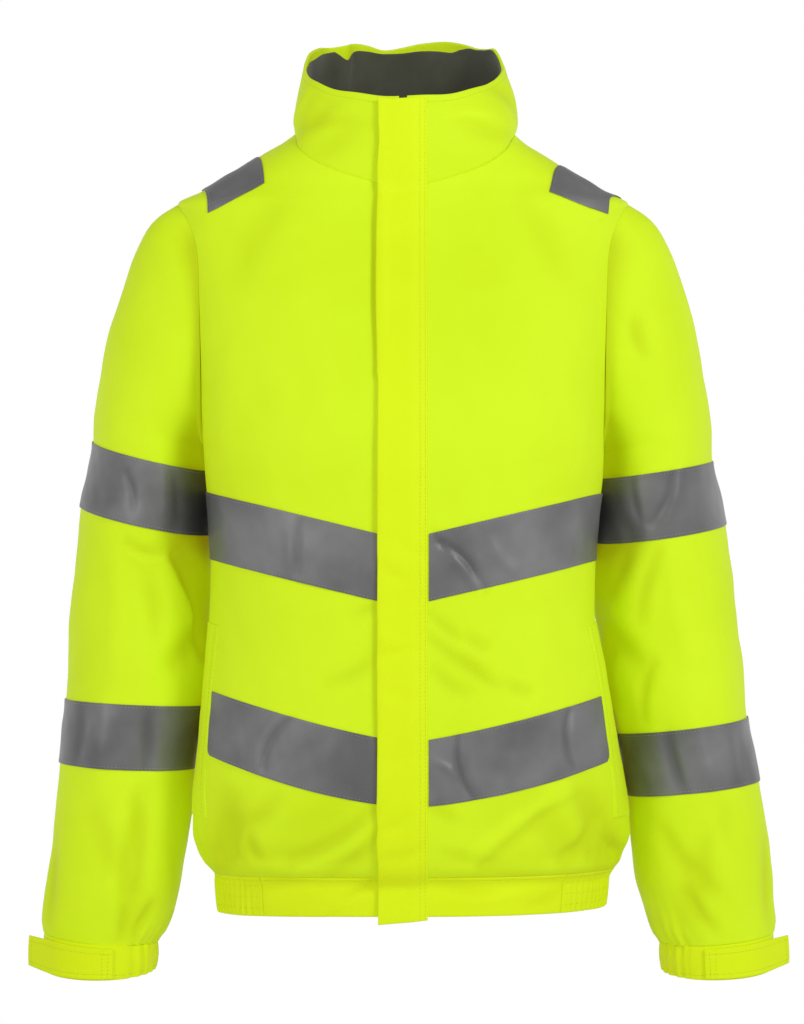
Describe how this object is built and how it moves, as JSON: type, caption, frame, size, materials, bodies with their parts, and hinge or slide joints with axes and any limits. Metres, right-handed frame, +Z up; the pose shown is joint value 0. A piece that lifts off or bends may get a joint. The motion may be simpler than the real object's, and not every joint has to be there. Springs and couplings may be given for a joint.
{
  "type": "hi-vis work jacket",
  "caption": "Waist-length hi-vis work jacket with stand collar, covered zip, reflective tape, elastic hem and tabbed cuffs, filled out as worn with nobody in it.",
  "frame": {"origin": "between the shoulders, level with the neck points, where the wearer's shoulders carry the jacket", "axes": "+Z up the wearer's back, +Y from the chest to the back so that the front faces -Y, +X to the wearer's left"},
  "size_m": [0.6114, 0.2797, 0.7567],
  "materials": {
    "hi_vis_yellow": "satin",
    "reflective_tape": "satin",
    "collar_lining": "matte",
    "zip": "satin"
  },
  "bodies": {
    "root": {"front_right": "hi_vis_yellow", "front_left": "hi_vis_yellow", "back": "hi_vis_yellow", "sleeve_right": "hi_vis_yellow", "sleeve_left": "hi_vis_yellow", "collar": "hi_vis_yellow", "collar_lining": "collar_lining", "storm_flap": "hi_vis_yellow", "zip": "zip", "hem_front_right": "hi_vis_yellow", "hem_front_left": "hi_vis_yellow", "hem_elastic": "hi_vis_yellow", "cuff_right": "hi_vis_yellow", "cuff_left": "hi_vis_yellow", "cuff_tab_right": "hi_vis_yellow", "cuff_tab_left": "hi_vis_yellow", "pocket_welt_right": "hi_vis_yellow", "pocket_welt_left": "hi_vis_yellow", "tape_front_low_right": "reflective_tape", "tape_front_low_left": "reflective_tape", "tape_front_up_right": "reflective_tape", "tape_front_up_left": "reflective_tape", "tape_back_low": "reflective_tape", "tape_back_up": "reflective_tape", "tape_shoulder_right": "reflective_tape", "tape_shoulder_left": "reflective_tape", "tape_sleeve_up_right": "reflective_tape", "tape_sleeve_up_left": "reflective_tape", "tape_sleeve_low_right": "reflective_tape", "tape_sleeve_low_left": "reflective_tape"}
  },
  "joints": []
}
